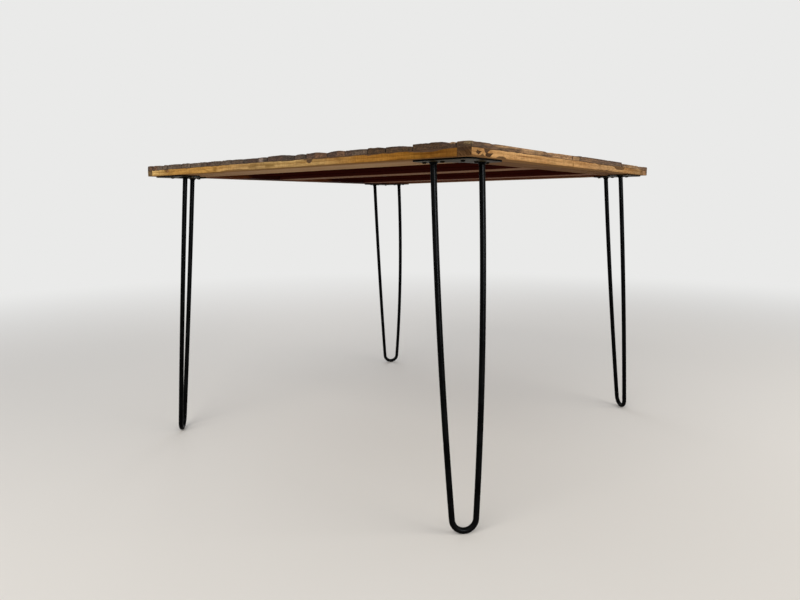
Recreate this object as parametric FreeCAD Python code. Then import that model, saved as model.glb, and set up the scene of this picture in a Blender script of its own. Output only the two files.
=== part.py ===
"""Dining table with a reclaimed board top on four bent-rod hairpin legs.

Millimetres, +Z up. The origin is on the floor under the middle of the top.
X runs along the boards, Y across them: the front edge is at -Y, the left edge at -X.
"""
import FreeCAD, Part
import math
import os

# Overall size of the table
TOP_LENGTH = 1006.0
TOP_WIDTH = 1002.0
LEG_HEIGHT = 711.0

# Edge strips round the lower layer of the top
EDGE_HEIGHT = 15.5
FRONT_EDGE_WIDTH = 29.0
BACK_EDGE_WIDTH = 21.0
LEFT_EDGE_WIDTH = 29.0
RIGHT_EDGE_WIDTH = 50.0

# Rails inside the edge strips, cross battens between the rails, and the panel that lies on them
RAIL_THICKNESS = 9.5
FRONT_RAIL_WIDTH = 66.0
BACK_RAIL_WIDTH = 66.0
BATTEN_WIDTH = 74.0
LEFT_BAY = 252.0
RIGHT_BAY = 58.0
# The left rail takes all the screws of a plate and the right rail those nearest the corner: the wood past a screw
LEFT_RAIL_COVER = 5.5
RIGHT_RAIL_COVER = 4.5

# Boards of the upper layer, in rows from the front: width, height, wear at the front and back top edges.
# The list starts again if the top is longer, and the last row is ripped to fit.
BOARD_ROWS = (
    (31.0, 10.7, 0.8, 0.1),
    (93.0, 12.2, 1.9, 0.7),
    (63.0, 10.6, 2.7, 0.2),
    (44.0, 11.7, 2.6, 0.2),
    (58.0, 11.0, 0.9, 0.7),
    (49.0, 11.3, 1.6, 2.5),
    (61.0, 11.6, 2.8, 0.4),
    (35.0, 10.7, 1.6, 1.1),
    (86.0, 12.0, 2.7, 0.7),
    (36.0, 10.9, 1.0, 1.0),
    (47.0, 10.5, 0.5, 0.3),
    (45.0, 10.8, 0.8, 0.6),
    (42.0, 11.5, 0.4, 0.9),
    (50.0, 10.9, 0.6, 0.8),
    (70.0, 11.4, 0.8, 0.9),
    (39.0, 11.7, 1.2, 0.6),
    (63.0, 11.7, 1.1, 0.3),
    (23.0, 11.8, 0.5, 0.9),
    (50.0, 11.7, 1.5, 0.2),
    (21.0, 12.0, 0.3, 0.6),
)
# Boards of the front row from the left end: length, and how much thicker they are than the row
FRONT_ROW_BOARDS = ((436.0, 0.0), (42.0, 0.3), (294.0, 1.4), (230.0, -1.6))
# Stack of boards for the other rows: length, and how much thicker they are than the row. Each is laid in turn,
# the first in a row has the row's own height, and the last is cut off at the right edge.
BOARD_STACK = (
    (303.0, -0.4), (434.0, 0.0), (277.0, -0.9), (252.0, -0.3), (551.0, 0.0), (329.0, -1.1), (475.0, -0.2),
    (415.0, -0.7), (564.0, 0.0), (324.0, -0.5), (511.0, -1.0), (468.0, -0.1), (175.0, -1.2), (610.0, -0.4),
    (184.0, -0.8), (406.0, 0.0), (175.0, -0.6),
)
SHORTEST_BOARD = 40.0
NARROWEST_ROW = 15.0
BOARD_GAP = 0.5

# Boomerang plate of each leg, with its outer edges parallel to the edges of the top
PLATE_INSET = 12.0
PLATE_ARM_LENGTH = 126.0
PLATE_ARM_WIDTH = 61.0
PLATE_THROAT = 76.0
PLATE_THICKNESS = 3.0
PLATE_CORNER_RADIUS = 12.0

# Hairpin rod: the foot is a round bend, and each side bows out between the bend and the plate
ROD_DIAMETER = 12.0
BEND_RADIUS = 24.0
BEND_SPLAY = 3.8
FOOT_INSET = 33.0
# The rods are bent by hand, so the foot of a leg may sit a little to one side
FOOT_SWAY = {"front_left": -4.0, "front_right": 0.0, "back_left": 0.0, "back_right": 15.0}

# Weld bead round each rod end
BEAD_WIDTH = 3.6
BEAD_HEIGHT = 6.5
BEAD_TOE = 0.7
BEAD_HOLLOW = 0.5
BEAD_CLEARANCE = 0.02

# Pan-head screws, five to a plate
SCREW_HEAD_DIAMETER = 9.0
SCREW_HEAD_HEIGHT = 2.8
SCREW_SHANK_DIAMETER = 4.5
SCREW_LENGTH = 15.0
SCREW_POINT = 4.0
SCREW_HOLE_DIAMETER = 5.0
SCREW_FROM_ROD = 20.0
SCREW_FROM_CORNER = 33.0

CORNERS = {"front_left": (-1, -1), "front_right": (1, -1), "back_left": (-1, 1), "back_right": (1, 1)}

# Levels and edges that several pieces share
Vec = FreeCAD.Vector
UP = Vec(0, 0, 1)
LEFT = -TOP_WIDTH / 2
RIGHT = TOP_WIDTH / 2
FRONT = -TOP_LENGTH / 2
BACK = TOP_LENGTH / 2
PLATE_UNDERSIDE = LEG_HEIGHT - PLATE_THICKNESS
PANEL_UNDERSIDE = LEG_HEIGHT + RAIL_THICKNESS
BOARD_BASE = LEG_HEIGHT + EDGE_HEIGHT

# Places on a plate, measured from the edges of the top
ARM_MIDDLE = PLATE_INSET + PLATE_ARM_WIDTH / 2
ARM_TIP = PLATE_INSET + PLATE_ARM_LENGTH
ROD_FROM_CORNER = ARM_TIP - PLATE_ARM_WIDTH / 2
NEAR_SCREW = ROD_FROM_CORNER - SCREW_FROM_ROD
FAR_SCREW = ROD_FROM_CORNER + SCREW_FROM_ROD


def bar(x0, x1, y0, y1, z0, z1):
    """Straight timber between two opposite corners."""
    return Part.makeBox(x1 - x0, y1 - y0, z1 - z0, Vec(x0, y0, z0))


def edge_strips():
    """Strips round the top: the right one runs through, and the left one fits between front and back."""
    x_right = RIGHT - RIGHT_EDGE_WIDTH
    y_front = FRONT + FRONT_EDGE_WIDTH
    y_back = BACK - BACK_EDGE_WIDTH
    return {
        "front_edge_strip": bar(LEFT, x_right, FRONT, y_front, LEG_HEIGHT, BOARD_BASE),
        "back_edge_strip": bar(LEFT, x_right, y_back, BACK, LEG_HEIGHT, BOARD_BASE),
        "left_edge_strip": bar(LEFT, LEFT + LEFT_EDGE_WIDTH, y_front, y_back, LEG_HEIGHT, BOARD_BASE),
        "right_edge_strip": bar(x_right, RIGHT, FRONT, BACK, LEG_HEIGHT, BOARD_BASE),
    }


def frame_and_panel():
    """Rails flush with the edge strips, two battens between them, and the panel lying on all of these."""
    x0 = LEFT + LEFT_EDGE_WIDTH
    x1 = RIGHT - RIGHT_EDGE_WIDTH
    y0 = FRONT + FRONT_EDGE_WIDTH
    y1 = BACK - BACK_EDGE_WIDTH
    x_left = LEFT + FAR_SCREW + LEFT_RAIL_COVER
    x_right = RIGHT - NEAR_SCREW - RIGHT_RAIL_COVER
    y_front = y0 + FRONT_RAIL_WIDTH
    y_back = y1 - BACK_RAIL_WIDTH
    left_batten = x_left + LEFT_BAY
    right_batten = x_right - RIGHT_BAY - BATTEN_WIDTH
    z0 = LEG_HEIGHT
    z1 = PANEL_UNDERSIDE
    return {
        "left_rail": bar(x0, x_left, y0, y1, z0, z1),
        "right_rail": bar(x_right, x1, y0, y1, z0, z1),
        "front_rail": bar(x_left, x_right, y0, y_front, z0, z1),
        "back_rail": bar(x_left, x_right, y_back, y1, z0, z1),
        "left_batten": bar(left_batten, left_batten + BATTEN_WIDTH, y_front, y_back, z0, z1),
        "right_batten": bar(right_batten, right_batten + BATTEN_WIDTH, y_front, y_back, z0, z1),
        "base_panel": bar(x0, x1, y0, y1, z1, BOARD_BASE),
    }


def board(x0, x1, y0, y1, height, front_wear, back_wear):
    """One board along X whose top is an arc, worn down at its front and back edges."""
    z_top = BOARD_BASE + height
    foot_front = Vec(x0, y0, BOARD_BASE)
    foot_back = Vec(x0, y1, BOARD_BASE)
    top_front = Vec(x0, y0, z_top - front_wear)
    top_back = Vec(x0, y1, z_top - back_wear)
    crown = Vec(x0, (y0 + y1) / 2, z_top)
    outline = Part.Wire([
        Part.makeLine(top_front, foot_front),
        Part.makeLine(foot_front, foot_back),
        Part.makeLine(foot_back, top_back),
        Part.Arc(top_back, crown, top_front).toShape(),
    ])
    return Part.Face(outline).extrude(Vec(x1 - x0, 0, 0))


def row_layout():
    """Rows from the front to the back edge: (y0, y1, height, front wear, back wear)."""
    rows = []
    y = FRONT
    while y < BACK:
        width, height, front_wear, back_wear = BOARD_ROWS[len(rows) % len(BOARD_ROWS)]
        y_end = y + width
        if BACK - y_end < NARROWEST_ROW:
            y_end = BACK
        rows.append((y, y_end, height, front_wear, back_wear))
        y = y_end
    return rows


def board_rows():
    """Boards of each row, cut from the stack in turn, with a narrow gap on all sides but the outer edges."""
    nodes = {}
    laid = 0
    half_gap = BOARD_GAP / 2
    for number, (y0, y1, height, front_wear, back_wear) in enumerate(row_layout()):
        boards = []
        x = LEFT
        while x < RIGHT:
            if number == 0:
                length, extra = FRONT_ROW_BOARDS[len(boards) % len(FRONT_ROW_BOARDS)]
            else:
                length, extra = BOARD_STACK[laid % len(BOARD_STACK)]
                laid += 1
            if x == LEFT:
                extra = 0.0
            x_end = x + length
            if RIGHT - x_end < SHORTEST_BOARD:
                x_end = RIGHT
            x_from = x if x == LEFT else x + half_gap
            x_to = x_end if x_end == RIGHT else x_end - half_gap
            y_from = y0 if y0 == FRONT else y0 + half_gap
            y_to = y1 if y1 == BACK else y1 - half_gap
            boards.append(board(x_from, x_to, y_from, y_to, height + extra, front_wear, back_wear))
            x = x_end
        nodes["top_row_%02d" % (number + 1)] = boards
    return nodes


def at_corner(corner, from_side, from_end, z):
    """Point measured inwards from a corner of the top: across X from its side, along Y from its end."""
    sign_x, sign_y = CORNERS[corner]
    return Vec(sign_x * (TOP_WIDTH / 2 - from_side), sign_y * (TOP_LENGTH / 2 - from_end), z)


def plate(corner, screws):
    """Boomerang plate: two arms along the edges, a hollow arc between their tips, and the screw holes."""
    inner = PLATE_INSET + PLATE_ARM_WIDTH
    throat = PLATE_INSET + PLATE_THROAT
    z = PLATE_UNDERSIDE
    points = [
        at_corner(corner, inner, ARM_TIP, z),
        at_corner(corner, PLATE_INSET, ARM_TIP, z),
        at_corner(corner, PLATE_INSET, PLATE_INSET, z),
        at_corner(corner, ARM_TIP, PLATE_INSET, z),
        at_corner(corner, ARM_TIP, inner, z),
    ]
    edges = [Part.makeLine(a, b) for a, b in zip(points, points[1:])]
    edges.append(Part.Arc(points[-1], at_corner(corner, throat, throat, z), points[0]).toShape())
    solid = Part.Face(Part.Wire(edges)).extrude(Vec(0, 0, PLATE_THICKNESS))
    upright = [e for e in solid.Edges if abs(e.tangentAt(e.FirstParameter).z) > 0.99]
    solid = solid.makeFillet(PLATE_CORNER_RADIUS, upright)
    for place in screws:
        foot = Vec(place.x, place.y, PLATE_UNDERSIDE)
        solid = solid.cut(Part.makeCylinder(SCREW_HOLE_DIAMETER / 2, PLATE_THICKNESS, foot))
    return solid


def screw_places(corner):
    """Screws each side of the rod on both arms, and one in the corner of the plate."""
    bend = PLATE_INSET + SCREW_FROM_CORNER
    one_arm = [(ARM_MIDDLE, FAR_SCREW), (ARM_MIDDLE, NEAR_SCREW)]
    other_arm = [(NEAR_SCREW, ARM_MIDDLE), (FAR_SCREW, ARM_MIDDLE)]
    spots = one_arm + [(bend, bend)] + other_arm
    return [at_corner(corner, side, end, PLATE_UNDERSIDE) for side, end in spots]


def screw(place):
    """Pan-head wood screw turned round a vertical axis, its head under the plate."""
    head = SCREW_HEAD_DIAMETER / 2
    shank = SCREW_SHANK_DIAMETER / 2
    crown = Vec(0, 0, -SCREW_HEAD_HEIGHT)
    brim = Vec(head, 0, 0)
    cheek = Vec(head * math.sin(math.pi / 4), 0, -SCREW_HEAD_HEIGHT * math.cos(math.pi / 4))
    corner = Vec(shank, 0, 0)
    taper = Vec(shank, 0, SCREW_LENGTH - SCREW_POINT)
    tip = Vec(0, 0, SCREW_LENGTH)
    outline = Part.Wire([
        Part.Arc(crown, cheek, brim).toShape(),
        Part.makeLine(brim, corner),
        Part.makeLine(corner, taper),
        Part.makeLine(taper, tip),
        Part.makeLine(tip, crown),
    ])
    solid = Part.Face(outline).revolve(Vec(0, 0, 0), UP, 360)
    solid.translate(place)
    return solid


class Hairpin:
    """Rod of one leg, drawn in its own leaning plane: s across the leg, t up from the foot."""

    def __init__(self, corner):
        middle = (ROD_FROM_CORNER + ARM_MIDDLE) / 2
        self.foot = at_corner(corner, FOOT_INSET, FOOT_INSET, ROD_DIAMETER / 2)
        head = at_corner(corner, middle, middle, LEG_HEIGHT)
        self.length = (head - self.foot).Length
        self.half_spread = (ROD_FROM_CORNER - ARM_MIDDLE) / math.sqrt(2)
        self.sway = FOOT_SWAY[corner]
        self.along = (head - self.foot).normalize()
        self.across = (at_corner(corner, 0, 1, 0) - at_corner(corner, 1, 0, 0)).normalize()

    def at(self, s, t):
        """Point in space of a place in the leg's plane."""
        return self.foot + self.across * s + self.along * t

    def side(self, hand):
        """One side: (bend end, middle of the bow, top end, direction at the top), hand is -1 or 1."""
        splay = math.radians(BEND_SPLAY)
        s0 = self.sway + hand * BEND_RADIUS * math.cos(splay)
        t0 = BEND_RADIUS * (1 - math.sin(splay))
        s1 = hand * self.half_spread
        t1 = self.length
        chord = math.hypot(s1 - s0, t1 - t0)
        lean = math.atan2(hand * (s1 - s0), t1 - t0)
        bow = chord / 2 * math.tan((splay - lean) / 2)
        s_mid = (s0 + s1) / 2 + hand * bow * math.cos(lean)
        t_mid = (t0 + t1) / 2 - bow * math.sin(lean)
        top_lean = 2 * lean - splay
        direction = self.across * (hand * math.sin(top_lean)) + self.along * math.cos(top_lean)
        return self.at(s0, t0), self.at(s_mid, t_mid), self.at(s1, t1), direction

    def rod(self):
        """Round rod along the two bowed sides and the bend, cut off flush under the plate."""
        end_a, bow_a, top_a = self.side(-1)[:3]
        end_b, bow_b, top_b = self.side(1)[:3]
        first_side = round_bar(top_a, bow_a, end_a)
        bend = round_bar(end_a, self.at(self.sway, 0), end_b)
        last_side = round_bar(end_b, bow_b, top_b)
        return below_plate(first_side.fuse([bend, last_side]))

    def weld_beads(self):
        """Hollow-faced ring round each rod end, lying against the plate."""
        beads = []
        bore = ROD_DIAMETER / 2 + BEAD_CLEARANCE
        for hand in (-1, 1):
            top, direction = self.side(hand)[2:]
            plate_level = (PLATE_UNDERSIDE - top.z) / direction.z
            foot = Vec(bore, 0, plate_level - BEAD_HEIGHT)
            toe = foot + Vec(BEAD_TOE, 0, 0)
            skirt = Vec(bore + BEAD_WIDTH, 0, plate_level - BEAD_TOE)
            chord = skirt - toe
            inwards = Vec(-chord.z, 0, chord.x).normalize()
            hollow = toe + chord * 0.5 + inwards * BEAD_HOLLOW
            outline = Part.Wire([
                Part.makeLine(foot, toe),
                Part.Arc(toe, hollow, skirt).toShape(),
                Part.makeLine(skirt, Vec(skirt.x, 0, 0)),
                Part.makeLine(Vec(skirt.x, 0, 0), Vec(bore, 0, 0)),
                Part.makeLine(Vec(bore, 0, 0), foot),
            ])
            bead = Part.Face(outline).revolve(Vec(0, 0, 0), UP, 360)
            bead.Placement = FreeCAD.Placement(top, FreeCAD.Rotation(UP, direction))
            beads.append(below_plate(bead))
        return beads


def round_bar(start, middle, end):
    """Piece of rod along an arc through three points: its round section turned about the arc's axis."""
    arc = Part.Arc(start, middle, end).toShape()
    section = Part.makeCircle(ROD_DIAMETER / 2, start, arc.tangentAt(arc.FirstParameter))
    turn = math.degrees(arc.LastParameter - arc.FirstParameter)
    return Part.Face(Part.Wire([section])).revolve(arc.Curve.Center, arc.Curve.Axis, turn)


def below_plate(shape):
    """Takes off all that reaches above the underside of the plates."""
    reach = Vec(LEFT, FRONT, PLATE_UNDERSIDE)
    return shape.cut(Part.makeBox(TOP_WIDTH, TOP_LENGTH, LEG_HEIGHT, reach)).Solids[0]


def drilled(timber, screws):
    """Timber with a pilot hole, the shape of the screw, for each screw that enters it."""
    for item in screws:
        if timber.BoundBox.intersect(item.BoundBox):
            timber = timber.cut(item).Solids[0]
    return timber


def export(name, solids):
    """Writes one node, checking that each solid is sound."""
    for solid in solids:
        if not solid.isValid() or solid.Volume <= 0:
            raise ValueError("unsound solid in " + name)
    shape = solids[0] if len(solids) == 1 else Part.makeCompound(solids)
    shape.exportStep("parts/" + name + ".step")


def main():
    os.makedirs("parts", exist_ok=True)
    all_screws = []
    for corner in CORNERS:
        places = screw_places(corner)
        screws = [screw(place) for place in places]
        all_screws += screws
        leg = Hairpin(corner)
        export(corner + "_plate", [plate(corner, places)])
        export(corner + "_hairpin", [leg.rod()])
        export(corner + "_weld_beads", leg.weld_beads())
        export(corner + "_screws", screws)
    timbers = {**edge_strips(), **frame_and_panel()}
    for name, timber in timbers.items():
        export(name, [drilled(timber, all_screws)])
    for name, boards in board_rows().items():
        export(name, [drilled(item, all_screws) for item in boards])


main()
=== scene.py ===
"""Looks of the reclaimed board table: weathered boards, edge strips, battened underside, hairpin legs.

Metres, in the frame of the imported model: X along the boards, Y across them, +Z up, origin on the floor.
The front edge is at -Y and the left edge at -X.
"""
import math

import bpy
import numpy as np
from mathutils import Matrix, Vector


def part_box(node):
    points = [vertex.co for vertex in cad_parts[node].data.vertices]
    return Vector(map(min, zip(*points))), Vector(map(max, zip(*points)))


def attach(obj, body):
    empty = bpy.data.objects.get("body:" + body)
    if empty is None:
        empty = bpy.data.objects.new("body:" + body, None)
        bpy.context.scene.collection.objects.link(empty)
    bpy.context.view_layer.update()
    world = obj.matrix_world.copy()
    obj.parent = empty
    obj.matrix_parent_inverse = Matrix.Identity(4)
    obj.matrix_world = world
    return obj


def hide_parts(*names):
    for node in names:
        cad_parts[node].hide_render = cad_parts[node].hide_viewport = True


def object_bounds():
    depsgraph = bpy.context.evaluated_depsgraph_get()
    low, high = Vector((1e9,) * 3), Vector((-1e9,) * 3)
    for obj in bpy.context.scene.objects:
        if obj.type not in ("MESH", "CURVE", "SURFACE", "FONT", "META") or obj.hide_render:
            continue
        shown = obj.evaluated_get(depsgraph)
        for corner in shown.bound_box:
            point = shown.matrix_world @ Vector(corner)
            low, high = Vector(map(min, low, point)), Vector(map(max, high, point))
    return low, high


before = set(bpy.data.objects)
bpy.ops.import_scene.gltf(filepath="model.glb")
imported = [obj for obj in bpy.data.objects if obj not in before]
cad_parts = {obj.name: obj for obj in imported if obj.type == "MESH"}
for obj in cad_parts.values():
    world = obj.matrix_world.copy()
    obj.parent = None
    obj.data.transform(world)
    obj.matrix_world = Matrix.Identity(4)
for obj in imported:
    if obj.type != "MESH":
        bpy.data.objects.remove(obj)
cad_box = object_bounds()

SEED = 7
UP = np.array([0.0, 0.0, 1.0])
# Edges bent by more degrees than this are shaded sharp
SHARP_ANGLE = 40.0
# Spacing of the surface grids
FINE_STEP = 0.0008
EDGE_STEPS = (0.0003, 0.0008, 0.0016, 0.0028)
# Whole numbers that the noise is hashed with
NOISE_FACTORS = (374761393, 668265263, 1440662683)
NOISE_SEED_FACTOR = 974634777
NOISE_MIXER = 1274126177
WORD = 0xFFFFFFFF
HALF_WORD = 0xFFFF


# Numbers and grids
def colour(red, green, blue):
    """Linear colour of an everyday 0 to 255 one."""
    parts = np.array([red, green, blue]) / 255
    linear = np.where(parts <= 0.04045, parts / 12.92, ((parts + 0.055) / 1.055) ** 2.4)
    return (*linear.tolist(), 1.0)


def unit(vector):
    """Vector of the same direction with length 1."""
    return vector / np.linalg.norm(vector)


def ease(value):
    """Smooth step from 0 to 1 for values from 0 to 1."""
    t = np.clip(value, 0, 1)
    return t * t * (3 - 2 * t)


def lifted(noise):
    """Noise from -1 to 1 brought to 0 to 1."""
    return 0.5 + 0.5 * noise


def soft_noise(x, y, z, seed):
    """Value noise from -1 to 1: hashed numbers at whole-number corners, eased between them on each axis."""
    axes = np.broadcast_arrays(x, y, z)
    corners = [np.floor(a).astype(np.int64) for a in axes]
    eased = [ease(a - c) for a, c in zip(axes, corners)]
    total = np.zeros(axes[0].shape)
    for steps in np.ndindex(2, 2, 2):
        mixed = seed * NOISE_SEED_FACTOR
        weight = 1.0
        for corner, share, step, factor in zip(corners, eased, steps, NOISE_FACTORS):
            mixed = mixed + (corner + step) * factor
            weight = weight * (share if step else 1 - share)
        mixed = mixed & WORD
        mixed = ((mixed ^ (mixed >> 13)) * NOISE_MIXER) & WORD
        value = ((mixed ^ (mixed >> 16)) & HALF_WORD) / HALF_WORD
        total += weight * value
    return 2 * total - 1


def layered_noise(x, y, z, seed, layers=3):
    """Sum of value noises, each twice as fine and half as strong as the one before."""
    total = sum(0.5 ** n * soft_noise(x * 2 ** n, y * 2 ** n, z * 2 ** n, seed + n) for n in range(layers))
    return total / (2 - 2.0 ** (1 - layers))


def rounded(distance, radius):
    """Fall of a rounded arris at a distance from the edge: radius less the height of a quarter circle."""
    inside = np.clip(1 - distance / radius, 0, 1)
    return radius * (1 - np.sqrt(1 - inside ** 2))


def ragged_ellipse(along, up, ellipse, pitch, seed):
    """Share inside an ellipse of place, height and half sizes, whose edge is made ragged by noise."""
    place, height, half_length, half_height = ellipse
    reach = np.hypot((along - place) / half_length, (up - height) / half_height)
    reach = reach + 0.4 * layered_noise(along * pitch[0], up * pitch[1], 0, seed)
    return ease(1.5 - reach)


def outline_share(corners, across, up, blur):
    """Share inside a closed outline.

    Crossings tell inside from outside, and the distance to the nearest side blurs the edge.
    """
    inside = np.zeros(across.shape, bool)
    nearest = np.full(across.shape, np.inf)
    for (x0, y0), (x1, y1) in zip(corners, corners[1:] + corners[:1]):
        dx, dy = x1 - x0, y1 - y0
        t = np.clip(((across - x0) * dx + (up - y0) * dy) / (dx * dx + dy * dy), 0, 1)
        nearest = np.minimum(nearest, np.hypot(across - x0 - t * dx, up - y0 - t * dy))
        crossing = x0 + (up - y0) * dx / (dy if dy else 1.0)
        inside ^= ((y0 > up) != (y1 > up)) & (across < crossing)
    return ease(0.5 + np.where(inside, nearest, -nearest) / blur)


def along_stops(stops, along):
    """Number or colour at each place along a piece, straight between the listed places."""
    places = [place for place, value in stops]
    values = [colour(*value) if isinstance(value, tuple) else value for place, value in stops]
    values = np.array(values).reshape(len(stops), -1)
    return np.stack([np.interp(along, places, column) for column in values.T], -1)


def graded(length, step, fine=()):
    """Shares from 0 to 1 along a length: even steps, finer near both ends and within the fine spans."""
    near = np.array(EDGE_STEPS) * min(1.0, 0.25 * length / EDGE_STEPS[-1])
    count = max(2, int(round((length - 2 * near[-1]) / step)) + 1)
    middle = np.linspace(near[-1], length - near[-1], count)
    for first, last in fine:
        middle = middle[(middle < first - FINE_STEP / 2) | (middle > last + FINE_STEP / 2)]
        middle = np.sort(np.concatenate([middle, np.arange(first, last, FINE_STEP)]))
    return np.concatenate(([0.0], near[:-1], middle, length - near[-2::-1], [length])) / length


def block_skin(*spans):
    """Six grids on the faces of a unit block, welded at the block's edges: points and outward quads."""
    points, quads, start = [], [], 0
    for axis in range(3):
        first, second = (axis + 1) % 3, (axis + 2) % 3
        a, b = np.meshgrid(spans[first], spans[second], indexing="ij")
        for side in (0.0, 1.0):
            face = np.empty(a.shape + (3,))
            face[..., axis] = side
            face[..., first] = a
            face[..., second] = b
            number = start + np.arange(a.size).reshape(a.shape)
            ring = [number[:-1, :-1], number[1:, :-1], number[1:, 1:], number[:-1, 1:]]
            quads.append(np.stack(ring if side else ring[::-1], -1).reshape(-1, 4))
            points.append(face.reshape(-1, 3))
            start += a.size
    kept, where = np.unique(np.round(np.concatenate(points), 7), axis=0, return_inverse=True)
    return kept, where.reshape(-1)[np.concatenate(quads)]


def ring_quads(number):
    """Quads of a grid of point numbers whose columns close into rings."""
    after = np.roll(number, -1, axis=1)
    return np.stack([number[:-1], after[:-1], after[1:], number[1:]], -1).reshape(-1, 4)


def capped_tube(rings, poles):
    """Tube through rings of points, each end closed by a fan to its pole: points, quads and triangles."""
    rows, columns = rings.shape[:2]
    number = np.arange(rows * columns).reshape(rows, columns)
    after = np.roll(number, -1, axis=1)
    first = np.stack([after[0], number[0], np.full(columns, number.size)], -1)
    last = np.stack([number[-1], after[-1], np.full(columns, number.size + 1)], -1)
    points = np.concatenate([rings.reshape(-1, 3), poles])
    return points, ring_quads(number), np.concatenate([first, last])


# Pieces
def points_of(node):
    """Vertices of a CAD node's mesh."""
    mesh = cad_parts[node].data
    points = np.empty(len(mesh.vertices) * 3, np.float32)
    mesh.vertices.foreach_get("co", points)
    return points.reshape(-1, 3).astype(float)


def joined(shells):
    """One set of arrays from several shells of (points, quads, triangles)."""
    points, quads, triangles, start = [], [], [], 0
    for shell_points, shell_quads, shell_triangles in shells:
        points.append(shell_points)
        quads.append(shell_quads + start)
        triangles.append(shell_triangles + start)
        start += len(shell_points)
    return np.concatenate(points), np.concatenate(quads), np.concatenate(triangles)


def new_piece(name, points, quads, triangles=()):
    """Mesh object from arrays, smooth but for its sharp edges."""
    corners = np.concatenate([np.ravel(quads), np.ravel(triangles)]).astype(np.int32)
    sizes = np.concatenate([np.full(len(quads), 4), np.full(len(triangles), 3)])
    mesh = bpy.data.meshes.new(name)
    mesh.vertices.add(len(points))
    mesh.vertices.foreach_set("co", np.asarray(points, np.float32).ravel())
    mesh.loops.add(len(corners))
    mesh.loops.foreach_set("vertex_index", corners)
    mesh.polygons.add(len(sizes))
    mesh.polygons.foreach_set("loop_start", (np.cumsum(sizes) - sizes).astype(np.int32))
    mesh.polygons.foreach_set("use_smooth", np.ones(len(sizes), bool))
    mesh.update(calc_edges=True)
    mesh.validate()
    mesh.set_sharp_from_angle(angle=math.radians(SHARP_ANGLE))
    piece = bpy.data.objects.new(name, mesh)
    bpy.context.scene.collection.objects.link(piece)
    return piece


def paint(piece, name, values):
    """Point attribute of a piece: one number, a place or a colour for each vertex."""
    values = np.asarray(values, np.float32)
    kinds = {1: ("FLOAT", "value"), 3: ("FLOAT_VECTOR", "vector"), 4: ("FLOAT_COLOR", "color")}
    kind, field = kinds[values.size // len(values)]
    layer = piece.data.attributes.new(name, kind, "POINT")
    layer.data.foreach_set(field, values.ravel())


def fit_out(piece, node, finish):
    """Puts a finished piece in a CAD node's place, on its body and slot."""
    piece.data.materials.append(finish)
    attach(piece, "root")
    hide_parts(node)


def recoat(node, finish):
    """Gives a new finish to a CAD node that keeps its shape."""
    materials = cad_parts[node].data.materials
    materials.clear()
    materials.append(finish)


# Materials
class Nodes:
    """Node tree of a material or of the room: most methods add a node and give its output."""

    def __init__(self, owner, kind):
        owner.use_nodes = True
        self.tree = owner.node_tree
        self.tree.nodes.clear()
        self.surface = self.tree.nodes.new("ShaderNodeOutput" + kind).inputs["Surface"]

    def put(self, socket, value):
        """Links a socket to an output, or sets it."""
        if isinstance(value, bpy.types.NodeSocket):
            self.tree.links.new(value, socket)
        else:
            socket.default_value = value

    def fill(self, made, inputs):
        """Puts values into a node's inputs, by name or number."""
        for key, value in inputs.items():
            self.put(made.inputs[key], value)

    def node(self, kind, inputs, output=0, **settings):
        """New node with its settings and inputs."""
        made = self.tree.nodes.new("ShaderNode" + kind)
        for key, value in settings.items():
            setattr(made, key, value)
        self.fill(made, inputs)
        return made.outputs[output]

    def maths(self, operation, *values):
        return self.node("Math", dict(enumerate(values)), operation=operation)

    def times(self, a, b):
        return self.maths("MULTIPLY", a, b)

    def backdrop_rays(self):
        """1 for the rays that see the backdrop itself: camera, mirror and glass rays."""
        camera, mirror, glass = (self.node("LightPath", {}, "Is %s Ray" % kind)
                                 for kind in ("Camera", "Glossy", "Transmission"))
        return self.maths("MAXIMUM", self.maths("MAXIMUM", camera, mirror), glass)


class Finish(Nodes):
    """One procedural material."""

    def __init__(self, name):
        self.material = bpy.data.materials.new(name)
        super().__init__(self.material, "Material")
        self.shader = self.tree.nodes.new("ShaderNodeBsdfPrincipled")
        self.put(self.surface, self.shader.outputs["BSDF"])

    def place(self):
        return self.node("TexCoord", {}, "Object")

    def attribute(self, name, output="Fac"):
        return self.node("Attribute", {}, output, attribute_name=name)

    def stretch(self, vector, scale, shift=(0, 0, 0)):
        return self.node("Mapping", {"Vector": vector, "Scale": scale, "Location": shift})

    def noise(self, vector, scale, detail=3.0, roughness=0.55):
        inputs = {"Vector": vector, "Scale": scale, "Detail": detail, "Roughness": roughness}
        return self.node("TexNoise", inputs)

    def remap(self, value, low, high, to_low=0.0, to_high=1.0):
        inputs = {"Value": value, "From Min": low, "From Max": high, "To Min": to_low, "To Max": to_high}
        return self.node("MapRange", inputs)

    def line(self, noise, width, most=1.0):
        """Thin lines where a noise crosses its middle."""
        return self.remap(self.maths("ABSOLUTE", self.maths("SUBTRACT", noise, 0.5)), 0.0, width, most, 0.0)

    def weighted(self, *parts, plus=0.0):
        """Sum of values, each times its weight."""
        total = plus
        for value, weight in parts:
            total = self.maths("MULTIPLY_ADD", value, weight, total)
        return total

    def mix(self, share, a, b, kind="MIX"):
        return self.node("Mix", {0: share, 6: a, 7: b}, 2, data_type="RGBA", blend_type=kind)

    def shaded(self, tint, by):
        return self.mix(1.0, tint, by, "MULTIPLY")

    def cover(self, base, tone, value, bare, full, most=1.0):
        """Tone laid over a base: none where a value is at bare, and most where it is at full."""
        return self.mix(self.remap(value, bare, full, 0.0, most), base, tone)

    def bump(self, height, distance, strength):
        return self.node("Bump", {"Height": height, "Distance": distance, "Strength": strength})

    def finish(self, base, roughness, normal, specular):
        """Sets the shader and gives the material."""
        self.fill(self.shader, {"Base Color": base, "Roughness": roughness, "Normal": normal,
                                "Specular IOR Level": specular})
        return self.material


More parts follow.
